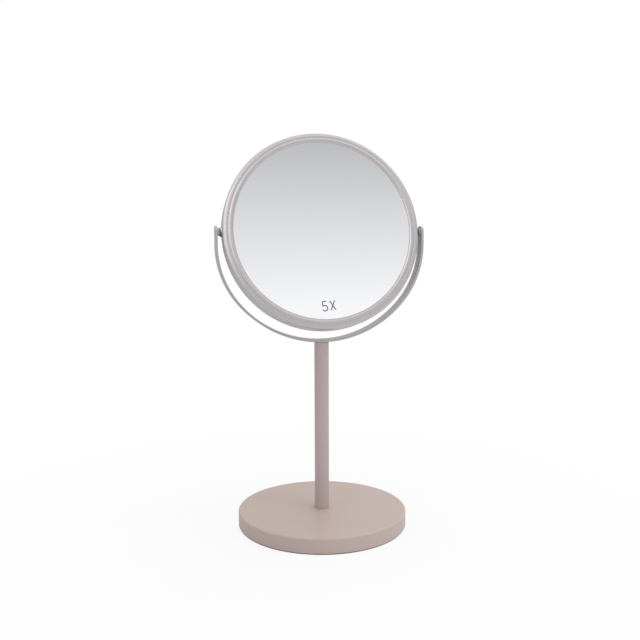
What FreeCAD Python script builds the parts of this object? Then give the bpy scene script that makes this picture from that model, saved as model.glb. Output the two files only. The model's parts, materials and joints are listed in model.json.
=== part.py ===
import FreeCAD, Part
import os
import Sketcher

# Round two-faced table mirror: a weighted disc foot, a tube stem, a bent strip
# yoke and a head that tilts between the yoke's arms. Millimetres, +Z up, the
# origin on the table under the stem. The magnifying face looks towards -Y and
# the tilt axis lies along X, so +X is the user's right.

SIZES = {
    # foot
    "base_diameter": 147.4,
    "base_height": 12.7,
    "base_lift": 0.8,           # rim of the cover above the table
    "cover_wall": 0.8,
    "cover_bend": 0.6,          # inside radius of the pressed edge
    "weight_gap": 16.0,         # air round the casting
    "well_gap": 4.0,            # casting's well round the washer
    "head_room": 0.7,           # bolt head above the plate
    "plate_gap": 0.4,
    "plate_thickness": 1.2,
    "pad_thickness": 1.2,
    "pad_inset": 2.4,           # edge of the pad inside the edge of the plate
    # stem and its screws
    "stem_diameter": 12.6,
    "stem_wall": 1.0,
    "stem_length": 148.0,
    "plug_length": 18.0,
    "fit_gap": 0.1,             # all round a pressed or screwed fit
    "foot_bolt_diameter": 6.0,
    "foot_bolt_reach": 10.0,    # thread inside the foot plug
    "foot_head_overhang": 2.5,  # head beyond the thread, all round
    "foot_head_height": 3.2,
    "foot_washer_overhang": 3.5,
    "foot_washer_thickness": 1.4,
    "bolt_clearance": 0.2,      # all round a bolt in a plain hole
    "foot_key_width": 4.0,
    "yoke_screw_diameter": 5.0,
    "yoke_screw_reach": 10.0,   # thread inside the top plug
    "countersink_land": 0.1,    # strip left straight under the countersink
    "yoke_key_width": 3.0,
    "key_depth": 1.4,
    # yoke
    "strip_width": 11.4,
    "strip_thickness": 2.0,
    "strip_edge": 0.6,          # rounding of the strip's long edges
    "edge_land": 0.2,           # flat left between two rounded edges
    "tip_margin": 2.35,         # end of an arm beyond its hole
    "tip_land": 0.1,            # half the flat left on the round end of an arm
    "arm_straight": 11.0,       # flat length of an arm below the tilt axis
    "turn_angle": 41.0,         # where the side bends meet the bottom bend
    "bottom_gap": 7.5,          # head to strip under the head
    # pivots
    "pin_diameter": 4.0,
    "running_gap": 0.05,        # all round the pin in its bush
    "side_play": 0.1,           # collar to bush
    "bush_wall": 0.7,
    "bush_flange": 0.5,
    "flange_overhang": 0.4,
    "pin_inset": 0.3,
    "cone_diameter": 9.6,
    "cone_length": 2.0,
    "neck_diameter": 6.8,
    "groove_depth": 0.6,
    "groove_length": 0.3,
    "collar_length": 0.9,
    "pivot_wall": 3.4,          # core ring under the washer
    "washer_overhang": 2.5,     # washer beyond the pin, all round
    "washer_thickness": 0.8,
    "nut_wall": 1.5,            # nut's flats beyond the pin
    "nut_height": 3.2,
    "thread_end": 0.8,          # pin beyond its nut
    "pocket_gap": 0.4,
    "pocket_wall": 1.3,         # core ring each side of the pocket
    # head
    "head_diameter": 170.0,
    "head_tilt": 11.8,
    "band_wall": 1.0,
    "roll_bend": 1.2,           # inside radius of the rolled edge
    "roll_turn": 130.0,
    "roll_gap": 0.3,
    "core_gap": 0.4,
    "core_ledge": 3.0,          # core ring inside the gaskets
    "ledge_relief": 0.3,        # sloped ledge to the curved glass
    "flange_thickness": 1.2,
    "flange_gap": 0.6,
    "bead_width": 5.4,
    "bead_rise": 1.5,           # outer foot of the bead above its flange
    "bead_crown": 0.95,
    "lip_height": 0.5,
    "seat_gap": 0.05,
    "glass_overlap": 2.3,       # glass under the bead
    "glass_edge_gap": 0.3,
    "glass_thickness": 2.0,
    "glass_curve": 580.0,       # radius of the magnifying face
    "gasket_thickness": 0.8,
    "gasket_width": 2.0,
    "backing_thickness": 1.0,
    "backing_gap": 0.6,
    "backing_clearance": 0.2,   # backing to the curved glass
}

doc = FreeCAD.newDocument("table_mirror")
sheet = doc.addObject("Spreadsheet::Sheet", "Sizes")
for row, (alias, size) in enumerate(SIZES.items(), start=1):
    sheet.set(f"A{row}", alias)
    sheet.set(f"B{row}", str(size))
    sheet.setAlias(f"B{row}", alias)
doc.recompute()

# Sizes that follow from the sheet, written as FreeCAD expressions.
base_radius = "(Sizes.base_diameter / 2)"
base_top = "(Sizes.base_lift + Sizes.base_height)"
cover_edge = "(Sizes.cover_wall + Sizes.cover_bend)"
cover_ceiling = f"({base_top} - Sizes.cover_wall)"
cover_inside = f"({base_radius} - Sizes.cover_wall)"
plate_top = "(Sizes.pad_thickness + Sizes.plate_thickness)"
plate_radius = f"({cover_inside} - Sizes.plate_gap)"
weight_radius = f"({cover_inside} - Sizes.cover_bend - Sizes.weight_gap)"
foot_head_bottom = f"({plate_top} + Sizes.head_room)"
foot_head_top = f"({foot_head_bottom} + Sizes.foot_head_height)"
web_underside = f"({foot_head_top} + Sizes.foot_washer_thickness)"
foot_hole = "(Sizes.foot_bolt_diameter / 2 + Sizes.bolt_clearance)"
foot_head_radius = "(Sizes.foot_bolt_diameter / 2 + Sizes.foot_head_overhang)"
foot_washer_radius = f"({foot_head_radius} + Sizes.foot_washer_overhang)"
well_radius = f"({foot_washer_radius} + Sizes.well_gap)"

stem_radius = "(Sizes.stem_diameter / 2)"
stem_bore = f"({stem_radius} - Sizes.stem_wall)"
stem_top = f"({base_top} + Sizes.stem_length)"
plug_radius = f"({stem_bore} - Sizes.fit_gap)"
yoke_screw_radius = "(Sizes.yoke_screw_diameter / 2)"
countersink_depth = "(Sizes.strip_thickness - Sizes.countersink_land)"

head_radius = "(Sizes.head_diameter / 2)"
boss_length = "(Sizes.cone_length + Sizes.groove_length + Sizes.collar_length)"
collar_end = f"({head_radius} + {boss_length})"
arm_inside = f"({collar_end} + Sizes.side_play + Sizes.bush_flange)"
arm_outside = f"({arm_inside} + Sizes.strip_thickness)"
yoke_drop = f"({head_radius} + Sizes.bottom_gap + Sizes.strip_thickness)"
pivot_height = f"({stem_top} + {yoke_drop})"
pin_radius = "(Sizes.pin_diameter / 2)"
bush_bore = f"({pin_radius} + Sizes.running_gap)"
bush_radius = f"({bush_bore} + Sizes.bush_wall)"
arm_hole = f"({bush_radius} + Sizes.fit_gap)"
arm_tip = f"({arm_hole} + Sizes.tip_margin)"
washer_radius = f"({pin_radius} + Sizes.washer_overhang)"
pocket_radius = f"({washer_radius} + Sizes.pocket_gap)"

roll_radius = "(Sizes.roll_bend + Sizes.band_wall)"
roll_centre = f"({head_radius} - {roll_radius})"
band_inside = f"({head_radius} - Sizes.band_wall)"
core_half = f"({pocket_radius} + Sizes.pocket_wall)"
flange_top = f"({core_half} + Sizes.flange_thickness)"
band_flat = f"({flange_top} + Sizes.roll_gap - Sizes.roll_bend * sin(Sizes.roll_turn))"
bead_outside = f"({roll_centre} + {roll_radius} * cos(Sizes.roll_turn) - Sizes.roll_gap)"
bead_inside = f"({bead_outside} - Sizes.bead_width)"
flange_radius = f"({band_inside} - Sizes.flange_gap)"
core_outside = f"({band_inside} - Sizes.core_gap)"
glass_radius = f"({bead_inside} + Sizes.glass_overlap)"
skirt_inside = f"({glass_radius} + Sizes.glass_edge_gap)"
gasket_inside = f"({glass_radius} - Sizes.gasket_width)"
core_inside = f"({gasket_inside} - Sizes.core_ledge)"
backing_edge = f"({core_inside} - Sizes.backing_gap)"
glass_back = f"({core_half} + Sizes.gasket_thickness)"
glass_front = f"({glass_back} + Sizes.glass_thickness)"
lip_bottom = f"({glass_front} + Sizes.seat_gap)"
lip_top = f"({lip_bottom} + Sizes.lip_height)"
bead_foot = f"({flange_top} + Sizes.bead_rise)"
pocket_floor = f"({core_outside} - Sizes.pivot_wall)"
nut_floor = f"({pocket_floor} - Sizes.washer_thickness)"
pin_end = f"({nut_floor} - Sizes.nut_height - Sizes.thread_end)"


def sag(curve, radius):
    """Depth of a spherical face of this curve at this radius."""
    return f"({curve} - sqrt({curve} * {curve} - {radius} * {radius}))"


glass_curve_back = "(Sizes.glass_curve + Sizes.glass_thickness)"
front_bottom = f"({glass_front} - {sag('Sizes.glass_curve', glass_radius)})"
back_bottom = f"({front_bottom} - Sizes.glass_thickness)"


def glass_back_at(radius):
    """Height of the magnifying glass's back above the head's middle plane."""
    return f"({back_bottom} + {sag(glass_curve_back, radius)})"


def turned_on_pivot(angle):
    """A placement at the tilt axis, turned about it."""
    return f"placement(vector(0; 0; {pivot_height}); rotation(vector(1; 0; 0); {angle}))"


on_pivot = turned_on_pivot("0")
on_head = turned_on_pivot("-Sizes.head_tilt")


def number(expression):
    """The value an expression has now."""
    return float(sheet.evalExpression(expression))


def bind(thing, **expressions):
    """Tie properties of an object to expressions."""
    for prop, expression in expressions.items():
        thing.setExpression(prop, expression)


def add_body(name, place=None):
    body = doc.addObject("PartDesign::Body", name)
    body.Label = name
    if place:
        body.setExpression("Placement", place)
    return body


def add_sketch(body, role, name):
    """An empty sketch on one of the body's own origin planes."""
    sketch = body.newObject("Sketcher::SketchObject", f"{body.Name}_{name}_sketch")
    plane = next(item for item in body.Origin.OriginFeatures if item.Role == role)
    sketch.AttachmentSupport = (plane, [""])
    sketch.MapMode = "FlatFace"
    return sketch


def arc_between(start, end, radius):
    """The shorter arc from start to end; a positive radius has its centre on the left."""
    chord = end - start
    middle = start + chord * 0.5
    left = FreeCAD.Vector(-chord.y, chord.x, 0).normalize()
    side = 1 if radius > 0 else -1
    depth = max(radius * radius - chord.Length ** 2 / 4, 0) ** 0.5
    centre = middle + left * side * depth
    return Part.Arc(start, centre - left * radius, end)


def draw_outline(sketch, corners):
    """A closed outline through corners (x, y), each tied to its expressions.

    A third entry is the radius of an arc from that corner to the next one.
    """
    points = [FreeCAD.Vector(number(corner[0]), number(corner[1]), 0) for corner in corners]
    ends = []
    for index, corner in enumerate(corners):
        start, end = points[index], points[(index + 1) % len(points)]
        if len(corner) == 2:
            sketch.addGeometry(Part.LineSegment(start, end))
            ends.append((1, 2))
        else:
            radius = number(corner[2])
            sketch.addGeometry(arc_between(start, end, radius))
            ends.append((1, 2) if radius > 0 else (2, 1))
    for index, corner in enumerate(corners):
        following = (index + 1) % len(corners)
        first, last = ends[index]
        sketch.addConstraint(Sketcher.Constraint(
            "Coincident", index, last, following, ends[following][0]))
        ties = [("DistanceX", (index, first), points[index].x, corner[0], "x"),
                ("DistanceY", (index, first), points[index].y, corner[1], "y")]
        if len(corner) == 3:
            ties.append(("Radius", (index,), abs(number(corner[2])), f"abs({corner[2]})", "radius"))
        for kind, where, size, expression, label in ties:
            tie = sketch.addConstraint(Sketcher.Constraint(kind, *where, size))
            sketch.renameConstraint(tie, f"{label}{index}")
            sketch.setExpression(f"Constraints.{label}{index}", expression)


def draw_circle(sketch, radius):
    """A circle round the sketch's origin."""
    sketch.addGeometry(Part.Circle(FreeCAD.Vector(), FreeCAD.Vector(0, 0, 1), number(radius)))
    sketch.addConstraint(Sketcher.Constraint("Coincident", 0, 3, -1, 1))
    tie = sketch.addConstraint(Sketcher.Constraint("Radius", 0, number(radius)))
    sketch.renameConstraint(tie, "radius")
    sketch.setExpression("Constraints.radius", radius)


def turned(body, name, role, corners, axis="V_Axis", kind="Revolution"):
    """A full turn of an outline about a sketch axis, added (Revolution) or cut (Groove)."""
    sketch = add_sketch(body, role, name)
    draw_outline(sketch, corners)
    feature = body.newObject(f"PartDesign::{kind}", f"{body.Name}_{name}")
    feature.Profile = sketch
    feature.ReferenceAxis = (sketch, [axis])
    feature.Angle = 360


def bored(body, name, role, radius, length=None):
    """A round pocket both ways from the sketch plane, through all or of a total length."""
    sketch = add_sketch(body, role, name)
    draw_circle(sketch, radius)
    feature = body.newObject("PartDesign::Pocket", f"{body.Name}_{name}")
    feature.Profile = sketch
    feature.SideType = "Symmetric"
    if length:
        feature.Type = "Length"
        feature.setExpression("Length", length)
    else:
        feature.Type = "ThroughAll"


def rounded(body, name, radius, wanted):
    """Fillet the edges of the body's tip that the test picks."""
    doc.recompute()
    base = body.Tip
    names = [f"Edge{index}" for index, edge in enumerate(base.Shape.Edges, start=1) if wanted(edge)]
    feature = body.newObject("PartDesign::Fillet", f"{body.Name}_{name}")
    feature.Base = (base, names)
    feature.setExpression("Radius", radius)


def keyed(body, name, width, level, reverse):
    """A hexagonal key socket, sunk from a level along Z."""
    sketch = add_sketch(body, "XY_Plane", name)
    sketch.setExpression("AttachmentOffset.Base.z", level)
    reach = f"({width} / sqrt(3))"
    draw_outline(sketch, [(f"{reach} * cos({60 * step})", f"{reach} * sin({60 * step})")
                          for step in range(6)])
    feature = body.newObject("PartDesign::Pocket", f"{body.Name}_{name}")
    feature.Profile = sketch
    feature.Type = "Length"
    feature.Reversed = reverse
    feature.setExpression("Length", "Sizes.key_depth")


# ---- foot ----

def make_base_cover():
    body = add_body("base_cover")
    turned(body, "shell", "XZ_Plane", [
        (foot_hole, cover_ceiling),
        (f"{cover_inside} - Sizes.cover_bend", cover_ceiling, "-Sizes.cover_bend"),
        (cover_inside, f"{cover_ceiling} - Sizes.cover_bend"),
        (cover_inside, "Sizes.base_lift"),
        (base_radius, "Sizes.base_lift"),
        (base_radius, f"{base_top} - {cover_edge}", cover_edge),
        (f"{base_radius} - {cover_edge}", base_top),
        (foot_hole, base_top),
    ])


def make_base_weight():
    body = add_body("base_weight")
    turned(body, "casting", "XZ_Plane", [
        (foot_hole, web_underside),
        (well_radius, web_underside),
        (well_radius, plate_top),
        (weight_radius, plate_top),
        (weight_radius, cover_ceiling),
        (foot_hole, cover_ceiling),
    ])


def make_bottom_plate():
    plate = doc.addObject("Part::Cylinder", "bottom_plate")
    bind(plate, Radius=plate_radius, Height="Sizes.plate_thickness")
    plate.setExpression("Placement.Base.z", "Sizes.pad_thickness")


def make_base_pad():
    pad = doc.addObject("Part::Cylinder", "base_pad")
    bind(pad, Radius=f"{plate_radius} - Sizes.pad_inset", Height="Sizes.pad_thickness")


def make_foot_bolt():
    body = add_body("foot_bolt")
    shank_top = f"({base_top} + Sizes.foot_bolt_reach)"
    turned(body, "blank", "XZ_Plane", [
        ("0", foot_head_bottom),
        (foot_head_radius, foot_head_bottom),
        (foot_head_radius, foot_head_top),
        ("Sizes.foot_bolt_diameter / 2", foot_head_top),
        ("Sizes.foot_bolt_diameter / 2", shank_top),
        ("0", shank_top),
    ])
    keyed(body, "socket", "Sizes.foot_key_width", foot_head_bottom, True)


def make_foot_washer():
    body = add_body("foot_washer")
    turned(body, "disc", "XZ_Plane", [
        (foot_hole, foot_head_top),
        (foot_washer_radius, foot_head_top),
        (foot_washer_radius, web_underside),
        (foot_hole, web_underside),
    ])


# ---- stem ----

def make_stem_tube():
    body = add_body("stem_tube")
    turned(body, "wall", "XZ_Plane", [
        (stem_bore, base_top),
        (stem_radius, base_top),
        (stem_radius, stem_top),
        (stem_bore, stem_top),
    ])


def make_plug(name, low, high, thread_diameter):
    """A threaded plug pressed into one end of the stem."""
    body = add_body(name)
    bore = f"({thread_diameter} / 2 + Sizes.fit_gap)"
    turned(body, "blank", "XZ_Plane", [(bore, low), (plug_radius, low), (plug_radius, high), (bore, high)])


def make_yoke_screw():
    """Its head is countersunk at 90 degrees, so it grows as much in radius as in depth."""
    body = add_body("yoke_screw")
    face = f"({stem_top} + Sizes.strip_thickness)"
    shank_end = f"({stem_top} - Sizes.yoke_screw_reach)"
    turned(body, "blank", "XZ_Plane", [
        ("0", shank_end),
        (yoke_screw_radius, shank_end),
        (yoke_screw_radius, f"{face} - {countersink_depth}"),
        (f"{yoke_screw_radius} + {countersink_depth}", face),
        ("0", face),
    ])
    keyed(body, "socket", "Sizes.yoke_key_width", face, False)


# ---- yoke ----

def make_yoke():
    """Flat strip in three tangent bends, drawn about the tilt axis."""
    body = add_body("yoke", on_pivot)
    bend_height = f"({yoke_drop} - Sizes.arm_straight)"
    across = "(cos(Sizes.turn_angle) + sin(Sizes.turn_angle) - 1)"
    radius_step = f"(({arm_outside} - {bend_height}) / {across})"
    side_radius = f"({bend_height} - {radius_step} * (1 - sin(Sizes.turn_angle)))"
    bottom_radius = f"({side_radius} + {radius_step})"

    def joint(radius, mirror):
        """Where a bottom bend of this radius meets the side bend."""
        return (f"{mirror} * {radius} * cos(Sizes.turn_angle)",
                f"{bottom_radius} - {yoke_drop} - {radius} * sin(Sizes.turn_angle)")

    inner_side = f"({side_radius} - Sizes.strip_thickness)"
    inner_bottom = f"({bottom_radius} - Sizes.strip_thickness)"
    sketch = add_sketch(body, "XZ_Plane", "strip")
    draw_outline(sketch, [
        (arm_outside, arm_tip),
        (arm_outside, "-Sizes.arm_straight", f"-{side_radius}"),
        (*joint(bottom_radius, 1), f"-{bottom_radius}"),
        (*joint(bottom_radius, -1), f"-{side_radius}"),
        (f"-{arm_outside}", "-Sizes.arm_straight"),
        (f"-{arm_outside}", arm_tip),
        (f"-{arm_inside}", arm_tip),
        (f"-{arm_inside}", "-Sizes.arm_straight", inner_side),
        (*joint(inner_bottom, -1), inner_bottom),
        (*joint(inner_bottom, 1), inner_side),
        (arm_inside, "-Sizes.arm_straight"),
        (arm_inside, arm_tip),
    ])
    pad = body.newObject("PartDesign::Pad", "yoke_strip")
    pad.Profile = sketch
    pad.SideType = "Symmetric"
    pad.setExpression("Length", "Sizes.strip_width")

    tip_level = number(arm_tip)

    def across_tip(edge):
        """The short edges through the strip's thickness at the ends of the arms."""
        box = edge.BoundBox
        return abs(box.ZMin - tip_level) < 1e-6 and box.ZLength < 1e-6 and box.YLength < 1e-6

    def along_strip(edge):
        """The edges that follow the strip from tip to tip."""
        return edge.BoundBox.YLength < 1e-6

    widest_edge = "(Sizes.strip_thickness - Sizes.edge_land) / 2"
    rounded(body, "ends", f"min({arm_tip}; Sizes.strip_width / 2) - Sizes.tip_land", across_tip)
    rounded(body, "edges", f"min(Sizes.strip_edge; {widest_edge})", along_strip)
    bored(body, "pivot_holes", "YZ_Plane", arm_hole)
    below = f"(-{yoke_drop} - Sizes.strip_thickness)"
    face = f"(Sizes.strip_thickness - {yoke_drop})"
    above = f"({face} + Sizes.strip_thickness)"
    hole = f"({yoke_screw_radius} + Sizes.fit_gap)"
    turned(body, "countersink", "XZ_Plane", [
        ("0", below),
        (hole, below),
        (hole, f"{face} - {countersink_depth}"),
        (f"{hole} + {countersink_depth}", face),
        (f"{hole} + {countersink_depth}", above),
        ("0", above),
    ], kind="Groove")


# ---- pivots ----

def make_pivot_bush(name, side):
    """Flanged plastic bush in the arm's hole."""
    body = add_body(name, on_pivot)
    flange = f"({arm_hole} + Sizes.flange_overhang)"
    turned(body, "sleeve", "XZ_Plane", [
        (f"{side} * ({arm_inside} - Sizes.bush_flange)", bush_bore),
        (f"{side} * ({arm_inside} - Sizes.bush_flange)", flange),
        (f"{side} * {arm_inside}", flange),
        (f"{side} * {arm_inside}", bush_radius),
        (f"{side} * ({arm_outside} - Sizes.pin_inset)", bush_radius),
        (f"{side} * ({arm_outside} - Sizes.pin_inset)", bush_bore),
    ], axis="H_Axis")


def make_pivot_boss(name, side):
    """Turned boss: threaded shank, cone, grooved collar and the pin that runs in the bush."""
    body = add_body(name, on_head)
    neck = "(Sizes.neck_diameter / 2)"
    groove = f"({neck} - Sizes.groove_depth)"
    stations = [
        (pin_end, "0"),
        (pin_end, pin_radius),
        (head_radius, pin_radius),
        (head_radius, "Sizes.cone_diameter / 2"),
        (f"{head_radius} + Sizes.cone_length", neck),
        (f"{head_radius} + Sizes.cone_length", groove),
        (f"{collar_end} - Sizes.collar_length", groove),
        (f"{collar_end} - Sizes.collar_length", neck),
        (collar_end, neck),
        (collar_end, pin_radius),
        (f"{arm_outside} - Sizes.pin_inset", pin_radius),
        (f"{arm_outside} - Sizes.pin_inset", "0"),
    ]
    turned(body, "blank", "XZ_Plane", [(f"{side} * ({x})", y) for x, y in stations], axis="H_Axis")


def paired(name, one_side):
    """One node that holds a piece and its mirror image on the other pivot."""
    other = doc.addObject("Part::Mirroring", f"{name}_mirrored")
    other.Source = one_side
    other.Normal = FreeCAD.Vector(1, 0, 0)
    pair = doc.addObject("Part::Compound", name)
    pair.Links = [one_side, other]
    pair.setExpression("Placement", on_head)


def make_pivot_washers():
    place = f"placement(vector({nut_floor}; 0; 0); rotation(vector(0; 1; 0); 90))"
    disc = doc.addObject("Part::Cylinder", "washer_disc")
    bind(disc, Radius=washer_radius, Height="Sizes.washer_thickness", Placement=place)
    hole = doc.addObject("Part::Cylinder", "washer_hole")
    bind(hole, Radius=f"{pin_radius} + Sizes.fit_gap", Height="Sizes.washer_thickness", Placement=place)
    washer = doc.addObject("Part::Cut", "washer_right")
    washer.Base, washer.Tool = disc, hole
    paired("pivot_washers", washer)


def make_pivot_nuts():
    start = f"({nut_floor} - Sizes.nut_height)"
    place = f"placement(vector({start}; 0; 0); rotation(vector(0; 1; 0); 90))"
    block = doc.addObject("Part::Prism", "nut_block")
    block.Polygon = 6
    corner = f"2 * ({pin_radius} + Sizes.nut_wall) / sqrt(3)"
    bind(block, Circumradius=corner, Height="Sizes.nut_height", Placement=place)
    hole = doc.addObject("Part::Cylinder", "nut_hole")
    bind(hole, Radius=f"{pin_radius} + Sizes.fit_gap", Height="Sizes.nut_height", Placement=place)
    nut = doc.addObject("Part::Cut", "nut_right")
    nut.Base, nut.Tool = block, hole
    paired("pivot_nuts", nut)


# ---- head, drawn upright about the tilt axis: x is the radius, -y the way it faces ----

def make_head_band():
    body = add_body("head_band", on_head)

    def roll_end(radius, side):
        return (f"{roll_centre} + {radius} * cos(Sizes.roll_turn)",
                f"{side} * ({band_flat} + {radius} * sin(Sizes.roll_turn))")

    turned(body, "hoop", "XY_Plane", [
        (head_radius, f"-{band_flat}"),
        (head_radius, band_flat, roll_radius),
        roll_end(roll_radius, 1),
        (*roll_end("Sizes.roll_bend", 1), "-Sizes.roll_bend"),
        (band_inside, band_flat),
        (band_inside, f"-{band_flat}", "-Sizes.roll_bend"),
        roll_end("Sizes.roll_bend", -1),
        (*roll_end(roll_radius, -1), roll_radius),
    ])
    bored(body, "pivot_holes", "YZ_Plane", f"{pin_radius} + Sizes.bolt_clearance")


def make_core_ring():
    """Inside the front gasket its ledge slopes away from the curved glass."""
    body = add_body("core_ring", on_head)
    turned(body, "ring", "XY_Plane", [
        (core_inside, f"-({glass_back_at(core_inside)} - Sizes.ledge_relief)"),
        (gasket_inside, f"-{core_half}"),
        (core_outside, f"-{core_half}"),
        (core_outside, core_half),
        (core_inside, core_half),
    ])
    bored(body, "pin_holes", "YZ_Plane", f"{pin_radius} + Sizes.bolt_clearance")
    bored(body, "nut_pockets", "YZ_Plane", pocket_radius, f"2 * {pocket_floor}")


def make_bezel(name, facing):
    """Beaded ring that holds one glass; its flange is trapped under the band's rolled edge."""
    body = add_body(name, on_head)
    width = f"({bead_outside} - {bead_inside})"
    chord_squared = f"({width} * {width} + ({lip_top} - {bead_foot}) * ({lip_top} - {bead_foot}))"
    crown_radius = f"({chord_squared} / (8 * Sizes.bead_crown) + Sizes.bead_crown / 2)"
    turned(body, "ring", "XY_Plane", [
        (bead_inside, f"{facing} * {lip_bottom}"),
        (bead_inside, f"{facing} * {lip_top}", f"{-facing} * {crown_radius}"),
        (bead_outside, f"{facing} * {bead_foot}"),
        (bead_outside, f"{facing} * {flange_top}"),
        (flange_radius, f"{facing} * {flange_top}"),
        (flange_radius, f"{facing} * {core_half}"),
        (skirt_inside, f"{facing} * {core_half}"),
        (skirt_inside, f"{facing} * {lip_bottom}"),
    ])


def make_magnifying_glass():
    body = add_body("magnifying_glass", on_head)
    turned(body, "lens", "XY_Plane", [
        ("0", f"-{front_bottom}", "-Sizes.glass_curve"),
        (glass_radius, f"-{glass_front}"),
        (glass_radius, f"-{glass_back_at(glass_radius)}", glass_curve_back),
        ("0", f"-{back_bottom}"),
    ])


def make_plain_glass():
    body = add_body("plain_glass", on_head)
    turned(body, "disc", "XY_Plane", [
        ("0", glass_back),
        (glass_radius, glass_back),
        (glass_radius, glass_front),
        ("0", glass_front),
    ])


def make_front_gasket():
    body = add_body("front_gasket", on_head)
    turned(body, "ring", "XY_Plane", [
        (gasket_inside, f"-{core_half}"),
        (glass_radius, f"-{core_half}"),
        (glass_radius, f"-({glass_back_at(glass_radius)} - Sizes.seat_gap)"),
        (gasket_inside, f"-({glass_back_at(gasket_inside)} - Sizes.seat_gap)"),
    ])


def make_rear_gasket():
    body = add_body("rear_gasket", on_head)
    turned(body, "ring", "XY_Plane", [
        (gasket_inside, core_half),
        (glass_radius, core_half),
        (glass_radius, glass_back),
        (gasket_inside, glass_back),
    ])


def make_front_backing():
    """Soft sheet that follows the curved glass's back."""
    body = add_body("front_backing", on_head)
    near = f"({glass_curve_back} + Sizes.backing_clearance)"
    far = f"({near} + Sizes.backing_thickness)"
    near_bottom = f"({back_bottom} - Sizes.backing_clearance)"
    far_bottom = f"({near_bottom} - Sizes.backing_thickness)"
    turned(body, "sheet", "XY_Plane", [
        ("0", f"-{near_bottom}", f"-{near}"),
        (backing_edge, f"-({near_bottom} + {sag(near, backing_edge)})"),
        (backing_edge, f"-({far_bottom} + {sag(far, backing_edge)})", far),
        ("0", f"-{far_bottom}"),
    ])


def make_rear_backing():
    """Soft sheet on the flat glass's back."""
    body = add_body("rear_backing", on_head)
    turned(body, "sheet", "XY_Plane", [
        ("0", f"{glass_back} - Sizes.backing_thickness"),
        (backing_edge, f"{glass_back} - Sizes.backing_thickness"),
        (backing_edge, glass_back),
        ("0", glass_back),
    ])


make_base_cover()
make_base_weight()
make_bottom_plate()
make_base_pad()
make_foot_bolt()
make_foot_washer()
make_stem_tube()
make_plug("stem_foot_plug", base_top, f"({base_top} + Sizes.plug_length)", "Sizes.foot_bolt_diameter")
make_plug("stem_top_plug", f"({stem_top} - Sizes.plug_length)", stem_top, "Sizes.yoke_screw_diameter")
make_yoke_screw()
make_yoke()
for side_name, side in (("left", -1), ("right", 1)):
    make_pivot_bush(f"pivot_bush_{side_name}", side)
    make_pivot_boss(f"pivot_boss_{side_name}", side)
make_pivot_washers()
make_pivot_nuts()
make_head_band()
make_core_ring()
make_bezel("front_bezel", -1)
make_bezel("rear_bezel", 1)
make_magnifying_glass()
make_plain_glass()
make_front_gasket()
make_rear_gasket()
make_front_backing()
make_rear_backing()

NODES = [
    "base_cover", "base_weight", "bottom_plate", "base_pad", "foot_bolt", "foot_washer",
    "stem_tube", "stem_foot_plug", "stem_top_plug", "yoke_screw", "yoke",
    "pivot_bush_left", "pivot_bush_right", "pivot_boss_left", "pivot_boss_right",
    "pivot_washers", "pivot_nuts", "head_band", "core_ring", "front_bezel", "rear_bezel",
    "magnifying_glass", "plain_glass", "front_gasket", "rear_gasket", "front_backing", "rear_backing",
]

doc.recompute()
for thing in doc.Objects:
    faults = {"Invalid", "Error"} & set(thing.State)
    if faults:
        raise RuntimeError(f"{thing.Name} is {thing.State}")

os.makedirs("parts", exist_ok=True)
shapes = {}
for name in NODES:
    shape = doc.getObject(name).Shape
    if shape.isNull() or not shape.isValid():
        raise RuntimeError(f"{name} has no valid shape")
    shapes[name] = shape
for name, shape in shapes.items():
    shape.exportStep(f"parts/{name}.step")
    box = shape.BoundBox
    print(f"{name:18s} {len(shape.Solids)} solid {shape.Volume:10.1f} mm3  "
          f"x {box.XMin:7.2f} {box.XMax:7.2f}  y {box.YMin:7.2f} {box.YMax:7.2f}  "
          f"z {box.ZMin:7.2f} {box.ZMax:7.2f}")
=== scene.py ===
import json
from math import atan2, cos, degrees, pi, radians, sin, sqrt, tan

import bmesh
import bpy
from mathutils import Matrix, Vector


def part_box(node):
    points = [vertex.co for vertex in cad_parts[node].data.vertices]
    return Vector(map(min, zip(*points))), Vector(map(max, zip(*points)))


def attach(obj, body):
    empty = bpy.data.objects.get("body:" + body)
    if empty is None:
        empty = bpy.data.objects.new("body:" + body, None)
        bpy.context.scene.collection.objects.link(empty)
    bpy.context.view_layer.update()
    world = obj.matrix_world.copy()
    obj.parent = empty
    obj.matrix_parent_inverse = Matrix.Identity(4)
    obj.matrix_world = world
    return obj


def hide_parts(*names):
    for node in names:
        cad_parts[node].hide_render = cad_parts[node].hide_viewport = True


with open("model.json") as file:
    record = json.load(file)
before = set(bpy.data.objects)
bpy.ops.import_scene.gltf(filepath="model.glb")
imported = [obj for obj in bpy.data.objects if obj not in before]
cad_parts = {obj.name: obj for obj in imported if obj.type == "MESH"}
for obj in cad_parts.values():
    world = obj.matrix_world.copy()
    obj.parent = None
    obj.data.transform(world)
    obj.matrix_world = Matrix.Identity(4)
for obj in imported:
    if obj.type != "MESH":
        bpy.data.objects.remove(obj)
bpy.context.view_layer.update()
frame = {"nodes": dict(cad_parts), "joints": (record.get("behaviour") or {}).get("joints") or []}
mm = 0.001
pivot = Vector(frame["joints"][0]["pos_m"])
print("frame loaded:", len(frame["nodes"]), "nodes")


# nodes, for shaders and for geometry

class Wire:                                   # a socket that can be used in sums
    def __init__(self, net, socket):
        self.net = net
        self.socket = socket

    def maths(self, operation, *values):
        return self.net.node("ShaderNodeMath", {"operation": operation}, dict(enumerate(values)))

    def out(self, name):                      # another output of the same node
        return Wire(self.net, self.socket.node.outputs[name])

    def __add__(self, other):
        return self.maths("ADD", self, other)

    def __sub__(self, other):
        return self.maths("SUBTRACT", self, other)

    def __rsub__(self, other):
        return self.maths("SUBTRACT", other, self)

    def __mul__(self, other):
        return self.maths("MULTIPLY", self, other)

    def __pow__(self, other):
        return self.maths("POWER", self, other)

    __radd__ = __add__
    __rmul__ = __mul__


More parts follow.
